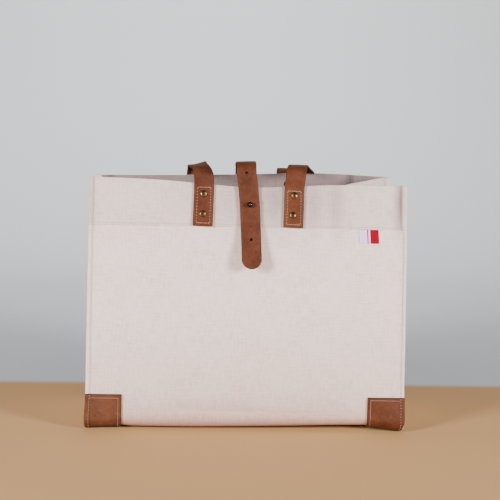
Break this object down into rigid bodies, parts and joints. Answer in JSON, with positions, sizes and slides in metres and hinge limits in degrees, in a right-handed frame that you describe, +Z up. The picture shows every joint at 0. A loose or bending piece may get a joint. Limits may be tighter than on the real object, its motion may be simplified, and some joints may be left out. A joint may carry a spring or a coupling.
{
  "type": "box tote bag",
  "caption": "Box-shaped canvas tote with riveted leather handles, a closing strap on a button stud, leather corner patches and side walls that fold inwards.",
  "frame": {"origin": "middle of the base, on the ground that it stands on", "axes": "+X to the right seen from the front, -Y towards the front, +Z up"},
  "size_m": [0.4044, 0.2204, 0.3405],
  "materials": {
    "canvas": "matte heavy duck",
    "leather": "smooth tan",
    "rivet_metal": "worn copper brass",
    "stud_metal": "dark antique brass",
    "label_ribbon": "woven ribbon"
  },
  "bodies": {
    "root": {"body_canvas": "canvas", "side_left": "canvas", "side_right": "canvas", "handle_front": "leather", "handle_back": "leather", "closing_strap": "leather", "closing_stud": "stud_metal", "side_label": "label_ribbon", "corner_patch_front_left": "leather", "corner_patch_front_right": "leather", "corner_patch_back_left": "leather", "corner_patch_back_right": "leather", "rivet_front_left_upper": "rivet_metal", "rivet_front_left_lower": "rivet_metal", "rivet_front_right_upper": "rivet_metal", "rivet_front_right_lower": "rivet_metal", "rivet_back_left_upper": "rivet_metal", "rivet_back_left_lower": "rivet_metal", "rivet_back_right_upper": "rivet_metal", "rivet_back_right_lower": "rivet_metal"}
  },
  "joints": []
}
